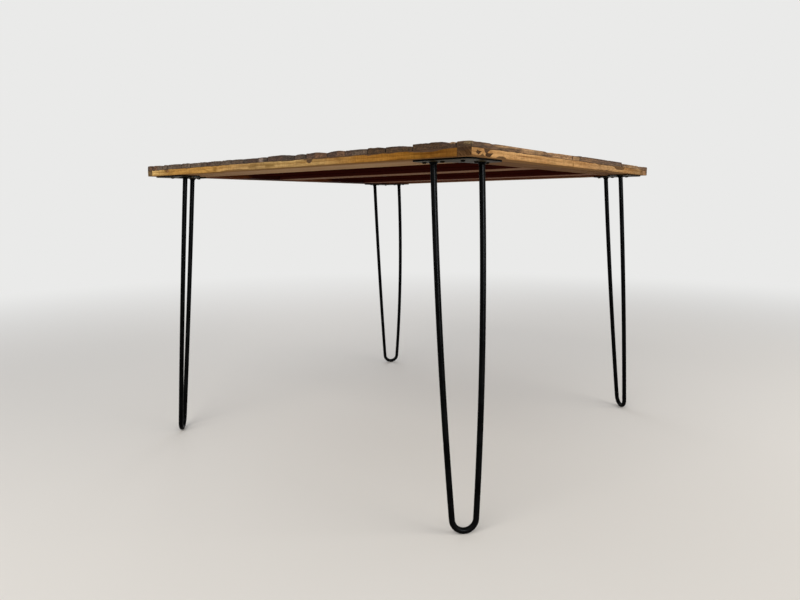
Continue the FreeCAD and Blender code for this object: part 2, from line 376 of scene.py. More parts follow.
class WoodFinish(Finish):
    """Finish of a timber, which follows the grain painted on the piece as along, across and up."""

    def __init__(self, name, ring_scale):
        super().__init__(name)
        self.grain = self.attribute("grain", "Vector")
        self.tint = self.attribute("tint", "Color")
        wander = self.along_grain((2.2, 14.0, 14.0), 2.0)
        drift = self.node("CombineXYZ", {1: wander, 2: wander})
        bent = self.node("VectorMath", {0: drift, 1: (0.0, 0.012, 0.012), 2: self.grain},
                         operation="MULTIPLY_ADD")
        inputs = {"Vector": bent, "Scale": ring_scale, "Distortion": 1.2, "Detail": 2.0, "Detail Scale": 3.0}
        self.rings = self.node("TexWave", inputs, 1, wave_type="RINGS", rings_direction="X",
                               wave_profile="SAW")
        self.streaks = self.along_grain((5.0, 150.0, 150.0), 4.0, 0.62)
        self.fibres = self.along_grain((30.0, 900.0, 900.0), 2.0)

    def along_grain(self, scale, detail=3.0, roughness=0.55, shift=(0, 0, 0)):
        """Noise with its own scale along, across and up the grain."""
        return self.noise(self.stretch(self.grain, scale, shift), 1.0, detail, roughness)


def weathered_boards():
    """Old boards: each its own tone, streaked along the grain, greyed in patches, with cracks and holes."""
    f = WoodFinish("weathered_boards", 60.0)
    dark = f.shaded(f.tint, colour(136, 122, 114))
    light = f.mix(0.23, f.tint, colour(198, 159, 114))
    figure = f.weighted((f.streaks, 0.66), (f.rings, 0.16), (f.fibres, 0.26))
    base = f.cover(dark, light, figure, 0.36, 0.78)
    patches = f.along_grain((7.0, 22.0, 22.0), 4.0, 0.6)
    base = f.cover(base, colour(108, 93, 78), patches, 0.5, 0.72, 0.5)
    stains = f.along_grain((9.0, 30.0, 30.0), 5.0, 0.65, (4.0, 2.0, 7.0))
    base = f.cover(base, colour(50, 36, 29), stains, 0.55, 0.72, 0.75)
    worn = f.times(f.attribute("wear"), f.remap(patches, 0.35, 0.6, 0.0, 0.22))
    base = f.mix(worn, base, f.mix(0.45, f.tint, colour(158, 128, 100)))
    lines = f.line(f.along_grain((3.2, 210.0, 90.0), 3.0, 0.5, (1.0, 3.0, 5.0)), 0.014)
    crack = f.times(lines, f.remap(patches, 0.42, 0.56))
    base = f.mix(f.times(crack, 0.85), base, colour(26, 19, 15))
    spot = f.node("TexVoronoi", {"Vector": f.stretch(f.grain, (1.0, 1.0, 0.0)), "Scale": 13.0}, "Distance")
    hole = f.remap(spot, 0.022, 0.030, 1.0, 0.0)
    base = f.cover(base, colour(58, 36, 26), spot, 0.11, 0.03, 0.6)
    base = f.mix(hole, base, colour(14, 11, 10))
    speckle = f.along_grain((120.0, 420.0, 420.0), 4.0, 0.7)
    sawn = f.cover(f.tint, f.shaded(f.tint, (1.5, 1.42, 1.34, 1.0)), f.rings, 0.0, 1.0, 0.6)
    sawn = f.cover(sawn, colour(40, 28, 21), speckle, 0.62, 0.38, 0.6)
    checks = f.line(f.along_grain((40.0, 260.0, 60.0), 3.0, 0.6), 0.03, 0.8)
    sawn = f.mix(checks, sawn, colour(27, 19, 14))
    sawn = f.mix(f.attribute("joint"), sawn, colour(20, 14, 11))
    end = f.attribute("end")
    base = f.mix(f.times(end, 0.85), base, sawn)
    mottle = f.along_grain((52.0, 110.0, 240.0), 6.0, 0.8, (3.0, 1.0, 8.0))
    blotch = f.remap(mottle, 0.3, 0.7, -0.8, 0.8)
    base = f.shaded(base, f.weighted((blotch, f.attribute("rim")), plus=1.0))
    crest = f.times(f.attribute("crest"), f.remap(mottle, 0.35, 0.65, 1.0, 0.25))
    base = f.mix(crest, base, f.shaded(f.tint, (0.36, 0.34, 0.34, 1.0)))
    height = f.weighted((f.streaks, 0.5), (f.fibres, 0.22), (f.rings, 0.12), (crack, -0.55), (hole, -1.2),
                        (f.times(speckle, end), 0.8))
    return f.finish(base, f.remap(f.streaks, 0.3, 0.7, 0.82, 0.66), f.bump(height, 0.0016, 0.75), 0.25)


def honey_wood():
    """Sawn softwood edge strip: warm streaks, knots, a brown lower arris, and dirt from the boards above."""
    f = WoodFinish("honey_edge", 46.0)
    deep = f.shaded(f.tint, colour(206, 190, 168))
    pale = f.shaded(f.tint, (1.3, 1.28, 1.22, 1.0))
    figure = f.weighted((f.streaks, 0.62), (f.rings, 0.2), (f.fibres, 0.24))
    base = f.cover(deep, pale, figure, 0.34, 0.76)
    cloud = f.along_grain((7.0, 40.0, 40.0), 5.0, 0.65)
    base = f.cover(base, f.shaded(f.tint, colour(186, 152, 112)), cloud, 0.5, 0.7, 0.7)
    scratch = f.remap(f.along_grain((6.0, 190.0, 190.0), shift=(2.0, 5.0, 1.0)), 0.62, 0.72, 0.0, 0.7)
    base = f.mix(scratch, base, f.shaded(f.tint, colour(140, 104, 70)))
    soil = f.along_grain((60.0, 260.0, 260.0), 4.0, 0.7)
    uneven = f.weighted((soil, 0.7), plus=-0.35)
    base = f.cover(base, colour(92, 64, 40), soil, 0.64, 0.76, 0.5)
    mottle = f.along_grain((60.0, 220.0, 220.0), 6.0, 0.78, (5.0, 9.0, 2.0))
    kerfs = f.along_grain((420.0, 60.0, 60.0), 3.0, 0.6)
    blotch = f.weighted((mottle, 0.6), (kerfs, 0.4))
    base = f.shaded(base, f.remap(blotch, 0.35, 0.65, 0.68, 1.3))
    shade = f.times(f.attribute("shade"), f.remap(mottle, 0.3, 0.7, 0.95, 0.55))
    base = f.mix(shade, base, f.shaded(f.tint, (0.44, 0.37, 0.24, 1.0)))

    def ragged(kind, amount=1.0):
        """Share of a kind of mark, its edge broken up by the soil."""
        return f.weighted((uneven, amount), plus=f.attribute(kind))

    knot = ragged("knot", 0.8)
    base = f.cover(base, colour(112, 76, 46), knot, 0.1, 0.5, 0.85)
    base = f.cover(base, colour(158, 118, 92), knot, 0.62, 0.95, 0.7)
    brown = f.mix(f.streaks, (0.24, 0.18, 0.14, 1.0), (0.5, 0.42, 0.33, 1.0))
    base = f.cover(base, f.shaded(f.tint, brown), ragged("wane"), 0.3, 0.7, 0.8)
    for kind, amount, bare, most, dark, light in (
        ("stain", 1.0, 0.35, 0.94, (50, 36, 28), (100, 78, 62)),
        ("olive", 1.0, 0.35, 0.95, (66, 46, 28), (122, 94, 66)),
        ("pit", 0.5, 0.3, 0.95, (38, 26, 18), (84, 62, 46)),
    ):
        tone = f.mix(soil, colour(*dark), colour(*light))
        base = f.cover(base, tone, ragged(kind, amount), bare, 0.6, most)
    diagonal = f.node("Mapping", {"Vector": f.grain, "Rotation": (0.7, 0.0, 0.0)})
    saw = f.noise(f.stretch(diagonal, (40.0, 340.0, 40.0)), 1.0, 4.0, 0.62)
    dull = f.shaded(f.tint, colour(150, 140, 132))
    butt = f.cover(dull, f.mix(0.12, f.tint, colour(150, 118, 84)), saw, 0.36, 0.64)
    butt = f.cover(butt, colour(60, 46, 36), ragged("stain"), 0.35, 0.6, 0.6)
    base = f.mix(f.attribute("end"), base, butt)
    under = f.mix(f.streaks, colour(92, 66, 42), colour(142, 108, 74))
    base = f.mix(f.times(f.attribute("under"), 0.85), base, under)
    lip = f.times(f.attribute("lip"), f.remap(f.streaks, 0.3, 0.7, 0.65, 0.3))
    base = f.mix(lip, base, f.shaded(f.tint, (0.2, 0.14, 0.1, 1.0)))
    height = f.weighted((f.streaks, 0.4), (f.fibres, 0.25), (f.rings, 0.15), (scratch, -0.4), (kerfs, 0.2))
    return f.finish(base, f.remap(f.streaks, 0.3, 0.7, 0.68, 0.54), f.bump(height, 0.0008, 0.6), 0.0)


def frame_wood(name):
    """Rail or batten: planed underside in the piece's own tone, and sides in the stain of the recess; along
    the back rail both carry painted light and painted shade.
    """
    f = WoodFinish(name, 40.0)
    deep = f.shaded(f.tint, colour(196, 184, 172))
    figure = f.weighted((f.streaks, 0.6), (f.rings, 0.22), (f.fibres, 0.22))
    planed = f.cover(deep, f.tint, figure, 0.34, 0.76)
    cloud = f.along_grain((5.0, 20.0, 20.0), 4.0, 0.6)
    planed = f.cover(planed, f.shaded(deep, colour(214, 200, 188)), cloud, 0.5, 0.75, 0.6)
    side = f.attribute("side", "Color")
    stained = f.mix(f.streaks, side, f.shaded(side, (1.9, 1.9, 1.9, 1.0)))
    brushed = f.weighted((f.along_grain((40.0, 160.0, 160.0)), 0.8), plus=f.attribute("under"))
    base = f.cover(stained, planed, brushed, 0.7, 1.1)
    height = f.weighted((f.streaks, 0.4), (f.fibres, 0.3))
    return f.finish(base, f.remap(f.streaks, 0.3, 0.7, 0.85, 0.7), f.bump(height, 0.0006, 0.6), 0.02)


def stained_panel():
    """Underside of the panel: thin red-brown stain over sheet wood, streaked by the brush."""
    f = Finish("red_brown_panel")
    place = f.place()
    streaks = f.noise(f.stretch(place, (120.0, 5.0, 60.0)), 1.0, 4.0, 0.6)
    fibres = f.noise(f.stretch(place, (700.0, 24.0, 300.0)), 1.0, 2.0)
    figure = f.weighted((streaks, 0.7), (fibres, 0.3))
    base = f.cover(colour(33, 8, 4), colour(52, 15, 8), figure, 0.32, 0.7)
    base = f.cover(base, colour(28, 6, 4), f.noise(place, 6.0, 4.0), 0.45, 0.7, 0.6)
    return f.finish(base, f.remap(streaks, 0.3, 0.7, 0.96, 0.86), f.bump(figure, 0.0005, 0.5), 0.0)


def black_steel(name, tone, roughness, gloss, dust_and_sheen=None):
    """Black coated steel: fine orange-peel skin, rubbed paler spots and, if asked, dust with a painted sheen
    on flat faces.
    """
    f = Finish(name)
    place = f.place()
    cloud = f.noise(place, 22.0, 4.0, 0.6)
    base = f.cover(colour(*tone), colour(*[part + 4 for part in tone]), cloud, 0.4, 0.7)
    base = f.cover(base, colour(30, 29, 28), f.noise(place, 160.0, 3.0, 0.7), 0.68, 0.8, 0.3)
    if dust_and_sheen:
        # Flat faces take the dust colour, which is partly real dust and partly a painted sheen.
        facing = f.node("SeparateXYZ", {0: f.node("NewGeometry", {}, "True Normal")}, 2)
        flat = f.remap(f.maths("ABSOLUTE", facing), 0.5, 0.9)
        base = f.mix(f.times(flat, f.remap(cloud, 0.3, 0.7, 0.8, 1.0)), base, colour(*dust_and_sheen))
    peel = f.noise(place, 900.0, 2.0)
    rough = f.remap(cloud, 0.3, 0.7, roughness - 0.06, roughness + 0.1)
    return f.finish(base, rough, f.bump(peel, 0.00006, 0.35), gloss)


# Boards of the top: grid
BOARD_STEP_ALONG = 0.004
BOARD_STEP_ACROSS = 0.0018
BOARD_HEIGHT_STEPS = (0.0, 0.14, 0.3, 0.46, 0.62, 0.76, 0.88, 0.95, 1.0)
# Points of a solid within SAME_END of each other are at one end, and those above CROWN_ABOVE on the crown
SAME_END = 1e-4
CROWN_ABOVE = 0.002
# Wear of the boards: depths, and how far from the edge it reaches
ARRIS_LEAST = 0.0006
ARRIS_MOST = 0.0018
CHIP_DEPTH = 0.007
CHIP_REACH = 0.004
END_CHIP_REACH = 0.005
FURROW_DEPTH = 0.0005
HOLLOW_DEPTH = 0.0005
RAGGED_FROM_ROW = 12
RAGGED_DEPTH = 0.0032
RAGGED_REACH = 0.034
LEFT_CHIP_REACH = 0.022
MOST_WORN_SHARE = 0.55
SIDE_DENT = 0.0006
SIDE_DENT_REACH = 0.003
END_DENT = 0.0014
END_DENT_REACH = 0.004
FULL_WEAR = 0.0032
ON_RIM = 1e-6
BOARD_END_SKIN = 0.0007
JOINT_REACH = 0.0011
# Colours of old boards
TONES = {
    "umber": (74, 52, 28),
    "charcoal": (70, 60, 52),
    "grey_brown": (98, 82, 68),
    "plum": (84, 64, 54),
    "russet": (116, 85, 63),
    "cinnamon": (88, 54, 26),
    "walnut": (98, 68, 47),
    "hazel": (121, 87, 54),
    "rose_tan": (138, 107, 82),
    "ash": (114, 98, 83),
    "tan": (206, 162, 114),
    "straw": (188, 150, 102),
    "bare_pine": (152, 134, 122),
    "khaki": (160, 138, 100),
}
# Tones at the left end of each row from the front: the first tone, then where the next one starts
LEFT_TONES = (
    ("umber",), ("plum", (0.35, "umber")), ("plum", (0.7, "umber")), ("umber",),
    ("grey_brown", (0.7, "plum")), ("russet", (0.45, "plum")), ("russet", (0.62, "plum")),
    ("charcoal", (0.4, "grey_brown")), ("charcoal", (0.45, "plum")),
    ("charcoal", (0.4, "bare_pine"), (0.8, "plum")), ("plum", (0.7, "charcoal")), ("grey_brown",),
    ("ash", (0.6, "grey_brown")), ("grey_brown", (0.7, "plum")), ("grey_brown", (0.4, "ash")),
    ("ash", (0.6, "grey_brown")), ("grey_brown", (0.4, "ash")), ("ash",), ("ash", (0.5, "russet")),
    ("russet", (0.6, "grey_brown")),
)
TONE_BLUR = 0.12
# Tones along each board of the front row: places from the left edge, and the tone there
FRONT_TONES = (
    ((0.0, "umber"), (0.004, "umber"), (0.010, "cinnamon"), (0.07, "cinnamon"), (0.10, "hazel"),
     (0.17, "hazel"), (0.195, "tan"), (0.25, "straw"), (0.29, "hazel"), (0.32, "tan"), (0.42, "tan")),
    ((0.436, "straw"), (0.478, "straw")),
    ((0.478, "hazel"), (0.54, "hazel"), (0.60, "walnut"), (0.772, "walnut")),
    ((0.772, "hazel"), (0.82, "straw"), (0.90, "straw"), (0.95, "hazel"), (1.0, "hazel")),
)
# Patches on the front row's face: along from the left edge, up from the base, half length, half height, tone
FRONT_PATCHES = (
    # The rose_tan patch at the top near corner is worn, paler wood with a painted highlight.
    (0.013, 0.0090, 0.012, 0.0012, "rose_tan"), (0.060, 0.0082, 0.022, 0.0016, "hazel"),
    (0.112, 0.0068, 0.028, 0.0042, "straw"), (0.140, 0.0020, 0.036, 0.0030, "cinnamon"),
    (0.163, 0.0084, 0.022, 0.0026, "tan"), (0.312, 0.0018, 0.022, 0.0022, "cinnamon"),
    (0.436, 0.0060, 0.002, 0.0080, "hazel"), (0.480, 0.0060, 0.003, 0.0090, "umber"),
    (0.500, 0.0105, 0.024, 0.0016, "walnut"), (0.735, 0.0030, 0.028, 0.0030, "umber"),
    (0.7735, 0.0060, 0.004, 0.0050, "umber"),
)
# Patches on the left ends: place from the front edge, and the rest as above
LEFT_PATCHES = (
    (0.110, 0.0024, 0.095, 0.0042, "umber"), (0.005, 0.0072, 0.009, 0.0030, "khaki"),
    (0.038, 0.0092, 0.009, 0.0026, "straw"),
)
PATCH_PITCH = (120, 260)
PATCH_STRENGTH = 0.85
PATCH_REACH = 0.004
# How dark the top edge of the front row's boards is, and that of the other boards
FRONT_CRESTS = (0.75, 0.6, 1.0, 0.8)
OTHER_CREST = 0.8
# Chips off the top of the left ends: place from the front edge, half width, depth
LEFT_CHIPS = (
    (0.049, 0.009, 0.0016), (0.740, 0.004, 0.0010), (0.811, 0.004, 0.0010), (0.849, 0.004, 0.0012),
    (0.932, 0.004, 0.0010),
)
# Tones that the boards away from the left end are drawn from
OTHER_TONES = (
    "umber", "grey_brown", "plum", "rose_tan", "ash", "charcoal", "cinnamon", "straw", "grey_brown",
    "russet",
)


def boards_of(node):
    """Base of a row and its boards, from its solids: (left end, right end, places across, crown heights)."""
    points = points_of(node)
    along = np.unique(points[:, 0])
    groups = np.split(along, np.flatnonzero(np.diff(along) > SAME_END) + 1)
    ends = [group.mean() for group in groups]
    base = points[:, 2].min()
    boards = []
    for left, right in zip(ends[0::2], ends[1::2]):
        upper = points[(abs(points[:, 0] - left) < SAME_END) & (points[:, 2] > base + CROWN_ABOVE)]
        across, first = np.unique(np.round(upper[:, 1], 6), return_index=True)
        boards.append((left, right, across, upper[first, 2]))
    return base, boards


def board_skin(base, board, seed, ragged, chips_at):
    """Worn board: a block as high as the crown less rounded arrises, chips, furrows and a ragged left end.

    Place (x, y) of the block's top is lowered by each wear in turn, and lower grid points keep their share.
    """
    left, right, across, crown = board
    front, back = across[0], across[-1]
    grid, quads = block_skin(graded(right - left, BOARD_STEP_ALONG), graded(back - front, BOARD_STEP_ACROSS),
                             BOARD_HEIGHT_STEPS)
    x = left + grid[:, 0] * (right - left)
    y = front + grid[:, 1] * (back - front)
    from_side = np.minimum(y - front, back - y)
    from_end = np.minimum(x - left, right - x)
    from_left = np.clip(x - left, 0, None)
    hand = np.sign(y - (front + back) / 2)
    arris_range = ARRIS_MOST - ARRIS_LEAST
    arris = ARRIS_LEAST + arris_range * lifted(layered_noise(x * 14, hand * 3, 0, seed))
    end_arris = ARRIS_LEAST + 0.3 * arris_range * (1 + soft_noise(y * 60, 0, 0, seed + 11))
    chips = np.clip(layered_noise(x * 26, hand * 5, 0, seed + 21) - 0.42, 0, 1)
    chips = chips * np.exp(-from_side / CHIP_REACH)
    end_chips = np.clip(layered_noise(y * 70, 0, 0, seed + 23) - 0.3, 0, 1)
    end_chips = end_chips * np.exp(-from_end / END_CHIP_REACH)
    furrow = lifted(layered_noise(x * 5, y * 120, 0, seed + 31))
    hollow = lifted(soft_noise(x * 6, y * 30, 0, seed + 41))
    lowered = rounded(from_side, arris) + rounded(from_end, end_arris)
    lowered += CHIP_DEPTH * (chips + 0.5 * end_chips)
    lowered += FURROW_DEPTH * furrow + HOLLOW_DEPTH * hollow
    notch = np.zeros(len(grid))
    if ragged:
        notch = ease((layered_noise(y * 150, x * 9, 0, seed + 51) - 0.12) / 0.2)
        lowered += RAGGED_DEPTH * notch * np.exp(-from_left / RAGGED_REACH)
    for place, half_width, depth in chips_at:
        off = abs(y - cad_box[0][1] - place) / half_width + 0.3 * soft_noise(y * 400, x * 90, 0, seed + 55)
        lowered += depth * ease(1.6 - 1.3 * off) * np.exp(-(from_left / LEFT_CHIP_REACH) ** 2)
    full = np.interp(y, across, crown) - base
    z = base + grid[:, 2] * (full - np.clip(lowered, 0, MOST_WORN_SHARE * full))
    side_share = np.clip(1 - from_side / SIDE_DENT_REACH, 0, 1)
    side_share = side_share * lifted(soft_noise(x * 45, hand * 2, z * 300, seed + 61))
    end_share = np.clip(1 - from_end / END_DENT_REACH, 0, 1)
    end_share = end_share * lifted(layered_noise(y * 160, z * 260, 0, seed + 71))
    y = y - hand * SIDE_DENT * side_share
    x = x + np.sign((left + right) / 2 - x) * END_DENT * end_share
    rim = np.where((from_side > ON_RIM) & (from_end > ON_RIM), 0.0, 1.0)
    joint = (0.45 if ragged else 0.9) * ease(1.2 - from_side / JOINT_REACH)
    shares = {
        "rim": rim,
        "crest": rim * ease((grid[:, 2] - 0.55) / 0.4),
        "wear": ease(lowered / FULL_WEAR),
        "end": np.clip(1 - from_end / BOARD_END_SKIN, 0, 1),
        "joint": np.maximum(joint, 0.6 * notch * grid[:, 2]),
    }
    return np.stack([x, y, z], -1), quads, shares


def toned(tint, tone, share):
    """Colours taken part of the way to a tone."""
    return tint + (np.array(colour(*TONES[tone])) - tint) * share[:, None]


def patch_tint(tint, patches, along, up, seed, strength):
    """Colours with ragged patches laid over them."""
    for *ellipse, tone in patches:
        tint = toned(tint, tone, strength * ragged_ellipse(along, up, ellipse, PATCH_PITCH, seed + 81))
    return tint


def tone_steps(tones, place):
    """Colours across a row's end: the first tone, eased into each next one round where that one starts."""
    tint = np.tile(colour(*TONES[tones[0]]), (len(place), 1))
    for change, tone in tones[1:]:
        tint = toned(tint, tone, ease((place - change) / TONE_BLUR + 0.5))
    return tint


def lay_boards(finish):
    """One piece for each row of the top, with its boards as closed shells."""
    draw = np.random.default_rng(SEED)
    for row, tones in enumerate(LEFT_TONES, 1):
        node = "top_row_%02d" % row
        base, boards = boards_of(node)
        back_tone = tones[-1][-1] if len(tones) > 1 else tones[0]
        shells = {}
        start = 0
        for number, board in enumerate(boards):
            seed = 1000 * row + 100 * number
            at_left = number == 0
            points, quads, shares = board_skin(base, board, seed, at_left and row >= RAGGED_FROM_ROW,
                                               LEFT_CHIPS if at_left else ())
            front, back = board[2][0], board[2][-1]
            place = (points[:, 1] - front) / (back - front)
            along = points[:, 0] - cad_box[0][0]
            from_front = points[:, 1] - cad_box[0][1]
            up = points[:, 2] - base
            shade = draw.uniform(0.82, 1.18)
            other = OTHER_TONES[draw.integers(len(OTHER_TONES))]
            pith = np.array([draw.uniform(0, 20), draw.uniform(-0.03, 0.03), draw.uniform(-0.05, -0.01)])
            if row == 1:
                tint = along_stops([(at, TONES[tone]) for at, tone in FRONT_TONES[number]], along)
                tint = patch_tint(tint, FRONT_PATCHES, along, up, seed, PATCH_STRENGTH)
            elif at_left:
                tint = tone_steps(tones, place)
            else:
                tint = shade * toned(np.array(colour(*TONES[other])), back_tone, 0.3 * place)
            tint = patch_tint(tint, LEFT_PATCHES, from_front, up, seed, ease(1.5 - along / PATCH_REACH))
            tint[:, 3] = 1.0
            shares["crest"] *= FRONT_CRESTS[number] if row == 1 else OTHER_CREST
            middle = np.array([0, (front + back) / 2, base])
            made = {"points": points, "quads": quads + start, "tint": tint, "grain": points - middle - pith}
            for key, values in {**made, **shares}.items():
                shells.setdefault(key, []).append(values)
            start += len(points)
        whole = {key: np.concatenate(values) for key, values in shells.items()}
        piece = new_piece("boards_row_%02d" % row, whole.pop("points"), whole.pop("quads"))
        for name, values in whole.items():
            paint(piece, name, values)
        fit_out(piece, node, finish)


# Timbers under the boards: grid, skin and dents
TIMBER_STEP_ALONG = 0.004
TIMBER_STEP_ACROSS = 0.003
STRIP_STEP_UP = 0.0006
TIMBER_EASING = 0.0008
TIMBER_UNEVENNESS = 0.00018
TIMBER_END_SKIN = 0.0006
WANE_DENT = 0.0010
WANE_FULL_DENT = 0.003
WANE_BLUR = 0.0010
DIRT_BLUR = 0.0008
EDGE_RAGGEDNESS = 0.0011
LIP_HEIGHT = 0.0006
MARK_PITCH = (180, 220)
STRIP_SEED = 101
FRAME_SEED = 201
# Sides of the table: axis and direction
FACES = {"front": (1, -1), "back": (1, 1), "left": (0, -1), "right": (0, 1)}
# Edge strips, with places from the strip's or face's start and heights from the underside.
# tints: place and colour. ends: colours of the two sawn ends. fine: spans with a finer grid.
# dirt, wane: place, and how far the boards' dirt hangs down or the brown wane climbs up there.
# figures on the outer face: kind, dent, blur of the edge, corners.
# marks: face, kind, place, height, half length, half height, dent.
STRIPS = {
    "front": {
        "tints": (
            (0.0, (176, 138, 94)), (0.09, (200, 160, 112)), (0.3, (194, 155, 108)), (0.5, (188, 150, 106)),
            (0.62, (172, 138, 100)), (0.8, (190, 156, 112)), (0.95, (150, 122, 88)),
        ),
        "ends": ((88, 62, 38), (120, 90, 60)),
        "fine": ((0.012, 0.126), (0.706, 0.802)),
        "dirt": (
            (0.0, 0.0012), (0.06, 0.0016), (0.12, 0.0007), (0.43, 0.0007), (0.64, 0.0012), (0.70, 0.0018),
            (0.80, 0.0005), (0.95, 0.0006),
        ),
        "wane": (
            (0.0, 0.0028), (0.055, 0.0026), (0.07, 0.0004), (0.5, 0.0002), (0.66, 0.0008), (0.70, 0.0002),
            (0.95, 0.0002),
        ),
        "figures": (
            ("pit", 0.0014, 0.0006, (
                (0.0203, 0.0122), (0.0242, 0.0098), (0.0342, 0.0090), (0.0292, 0.0062), (0.0233, 0.0028),
                (0.0190, 0.0056), (0.0132, 0.0072), (0.0182, 0.0086))),
            ("stain", 0.0008, 0.0006, (
                (0.0392, 0.0172), (0.0700, 0.0172), (0.0648, 0.0138), (0.0585, 0.0104), (0.0505, 0.0062),
                (0.0452, 0.0086), (0.0428, 0.0128))),
            ("pit", 0.0014, 0.0006, (
                (0.0530, 0.0090), (0.0566, 0.0073), (0.0620, 0.0074), (0.0750, 0.0079), (0.0697, 0.0050),
                (0.0645, 0.0012), (0.0552, 0.0012), (0.0464, 0.0037), (0.0490, 0.0062))),
            ("olive", 0.0006, 0.0008, (
                (0.0850, 0.0012), (0.0955, 0.0042), (0.1102, 0.0048), (0.1235, 0.0030), (0.1190, -0.0010),
                (0.0890, -0.0010))),
            ("olive", 0.0003, 0.0007, (
                (0.0372, 0.0058), (0.0460, 0.0012), (0.0330, -0.0010), (0.0250, 0.0008))),
            ("olive", 0.0010, 0.0008, (
                (0.7050, 0.0172), (0.7080, 0.0150), (0.7190, 0.0104), (0.7330, 0.0066), (0.7586, 0.0070),
                (0.7800, 0.0070), (0.7920, 0.0092), (0.8010, 0.0140), (0.7880, 0.0136), (0.7820, 0.0172))),
        ),
        "marks": (
            ("front", "shade", 0.440, 0.005, 0.004, 0.0050, 0.0002),
            ("front", "shade", 0.605, 0.012, 0.008, 0.0016, 0.0002),
            ("front", "wane", 0.944, 0.007, 0.005, 0.0090, 0.0003),
            ("front", "stain", 0.659, 0.001, 0.010, 0.0012, 0.0004),
            ("left", "stain", 0.018, 0.014, 0.020, 0.0040, 0.0),
        ),
    },
    "left": {
        # These tints darken towards the near corner: partly the wood's own colour, partly painted shade.
        "tints": (
            (0.0, (118, 82, 37)), (0.055, (124, 86, 36)), (0.085, (138, 98, 41)), (0.13, (150, 107, 46)),
            (0.23, (156, 114, 56)), (0.33, (176, 146, 97)), (0.46, (182, 154, 104)), (0.53, (162, 134, 90)),
            (0.6, (190, 158, 108)), (0.72, (192, 150, 84)), (0.84, (188, 146, 82)), (0.88, (168, 132, 76)),
            (0.95, (224, 192, 130)),
        ),
        "ends": ((130, 96, 58), (130, 96, 58)),
        "dirt": (
            (0.0, 0.0003), (0.03, 0.0010), (0.045, 0.0034), (0.065, 0.0044), (0.09, 0.0036), (0.105, 0.0010),
            (0.13, 0.0012), (0.15, 0.0028), (0.165, 0.0016), (0.185, 0.0028), (0.2, 0.0026), (0.21, 0.0012),
            (0.25, 0.0014), (0.32, 0.0018), (0.47, 0.0016), (0.50, 0.0006), (0.63, 0.0008), (0.70, 0.0012),
            (0.85, 0.0010), (0.95, 0.0014),
        ),
        "wane": (
            (0.0, 0.0008), (0.1, 0.0006), (0.16, 0.0014), (0.2, 0.0010), (0.27, 0.0008), (0.33, 0.0016),
            (0.39, 0.0007), (0.5, 0.0010), (0.55, 0.0012), (0.585, 0.0034), (0.615, 0.0044), (0.64, 0.0030),
            (0.67, 0.0003), (0.9, 0.0002), (0.94, 0.0018),
        ),
        "figures": (
            ("shade", 0.0, 0.0040, (
                (0.7328, 0.0112), (0.7231, 0.0098), (0.7020, 0.0033), (0.7093, 0.0018), (0.7258, 0.0066))),
            ("shade", 0.0002, 0.0050, (
                (0.6750, 0.0122), (0.6890, 0.0122), (0.6890, 0.0008), (0.6750, 0.0008))),
            ("shade", 0.0, 0.0040, (
                (0.4700, 0.0100), (0.5000, 0.0090), (0.5000, 0.0035), (0.4700, 0.0045))),
            ("shade", 0.0, 0.0060, (
                (0.5320, 0.0100), (0.5570, 0.0082), (0.5550, 0.0038), (0.5320, 0.0052))),
        ),
        "marks": (
            ("left", "knot", 0.883, 0.0104, 0.0052, 0.0032, 0.0002),
            ("left", "wane", 0.890, 0.0120, 0.0080, 0.0030, 0.0),
            ("left", "stain", 0.361, 0.0118, 0.0075, 0.0052, 0.0008),
        ),
    },
    "back": {
        "tints": ((0.0, (168, 124, 70)), (0.5, (176, 132, 76)), (0.95, (160, 118, 66))),
        "ends": ((136, 114, 80), (120, 90, 60)),
        "dirt": ((0.0, 0.0012), (0.5, 0.0008), (0.95, 0.0014)),
        "wane": ((0.0, 0.0006), (0.6, 0.0014), (0.95, 0.0005)),
        "marks": (
            ("back", "knot", 0.3100, 0.008, 0.009, 0.0050, 0.0002),
            ("back", "stain", 0.6400, 0.014, 0.030, 0.0036, 0.0006),
            ("left", "stain", 0.0105, 0.015, 0.014, 0.0026, 0.0),
        ),
    },
    "right": {
        "tints": ((0.0, (164, 130, 80)), (0.5, (176, 134, 80)), (1.0, (160, 118, 68))),
        "ends": ((182, 144, 108), (122, 92, 60)),
        "dirt": ((0.0, 0.0008), (0.4, 0.0014), (0.7, 0.0006), (1.0, 0.0012)),
        "wane": ((0.0, 0.0004), (0.6, 0.0012), (1.0, 0.0006)),
        "marks": (
            ("right", "knot", 0.230, 0.009, 0.008, 0.0046, 0.0002),
            ("right", "stain", 0.720, 0.013, 0.024, 0.0042, 0.0006),
            ("front", "stain", 0.044, 0.008, 0.008, 0.0120, 0.0003),
            ("front", "stain", 0.020, 0.015, 0.024, 0.0034, 0.0),
            ("front", "stain", 0.003, 0.008, 0.006, 0.0120, 0.0003),
        ),
    },
}
